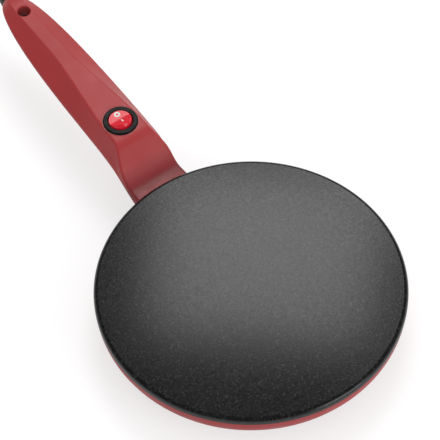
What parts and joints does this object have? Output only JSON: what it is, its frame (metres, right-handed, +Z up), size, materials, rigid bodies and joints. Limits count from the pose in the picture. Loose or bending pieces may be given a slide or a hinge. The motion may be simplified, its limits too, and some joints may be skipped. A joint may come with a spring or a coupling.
{
  "type": "electric crepe maker",
  "caption": "Hand-held electric crepe maker: domed round non-stick plate on a shallow base dish, long faceted handle with round rocker switch, hanging hole and supply cord.",
  "frame": {"origin": "centre of the foot ring on the resting plane, on the cooking plate's axis", "axes": "+Z up along the plate's axis, +Y from the plate along the handle to the cord"},
  "size_m": [0.2, 0.559, 0.054],
  "materials": {
    "black_rubber": "matt",
    "ceramic_white": "glazed ceramic",
    "contact_brass": "strip with silver contact",
    "cord_black": "smooth PVC",
    "element_steel": "bare tubular sheath, heat-tinted",
    "fuse_metal": "drawn can",
    "glass_sleeve": "woven glass sleeve",
    "lamp_glass": "clear",
    "lead_blue": "silicone insulation",
    "lead_brown": "silicone insulation",
    "lead_white": "glass and silicone insulation",
    "nonstick_plate": "fine-textured non-stick coating on cast aluminium",
    "plug_brass": "nickel-plated",
    "red_plastic": "fine satin moulding",
    "rocker_red": "polished, translucent",
    "screw_steel": "zinc-plated",
    "shield_aluminium": "mill finish",
    "splice_cap": "closed-end cap",
    "spring_steel": "drawn wire",
    "switch_black": "satin",
    "tinned_brass": "tinned",
    "white_nylon": "moulded",
    "zinc_steel": "zinc-plated strip"
  },
  "bodies": {
    "base": {"base_housing": "red_plastic", "clamp_screws": "screw_steel", "clip_screws": "screw_steel", "cooking_plate": "nonstick_plate", "cord_bush": "cord_black", "cord_clamp": "white_nylon", "cord_coil": "cord_black", "cord_tail": "cord_black", "cover_screws": "screw_steel", "crimp_connectors": "tinned_brass", "element_clips": "zinc_steel", "element_terminals": "tinned_brass", "foot_ring": "black_rubber", "fuse_sleeve": "glass_sleeve", "handle_cover": "red_plastic", "heat_shield": "shield_aluminium", "heating_element": "element_steel", "lead_fuse": "lead_white", "lead_lamp": "lead_blue", "lead_live": "lead_brown", "lead_neutral_in": "lead_blue", "lead_neutral_out": "lead_blue", "lead_switched": "lead_brown", "lead_thermostat": "lead_white", "neutral_splice": "splice_cap", "plate_screws": "screw_steel", "plug_blades": "plug_brass", "plug_body": "cord_black", "plug_lead": "cord_black", "power_cord": "cord_black", "strap_screws": "screw_steel", "switch_housing": "switch_black", "switch_terminals": "tinned_brass", "thermal_fuse": "fuse_metal", "thermostat": "ceramic_white", "thermostat_strap": "zinc_steel", "thermostat_tabs": "tinned_brass"},
    "rocker": {"switch_rocker": "rocker_red", "rocker_plunger": "white_nylon", "plunger_spring": "spring_steel", "pilot_lamp": "lamp_glass"},
    "contact_lever": {"contact_lever": "contact_brass"}
  },
  "joints": [
    {"name": "rocker_tilt", "type": "hinge", "parent": "base", "child": "rocker", "pos_m": [0, 0.1452, 0.0482], "axis": [1, 0, 0], "range_deg": [0, 22]},
    {"name": "lever_tilt", "type": "hinge", "parent": "base", "child": "contact_lever", "pos_m": [0, 0.1452, 0.03907], "axis": [1, 0, 0], "range_deg": [-11, 0]}
  ],
  "couplings": [
    {"joint": "lever_tilt", "follows": "rocker_tilt", "ratio": -0.5}
  ]
}
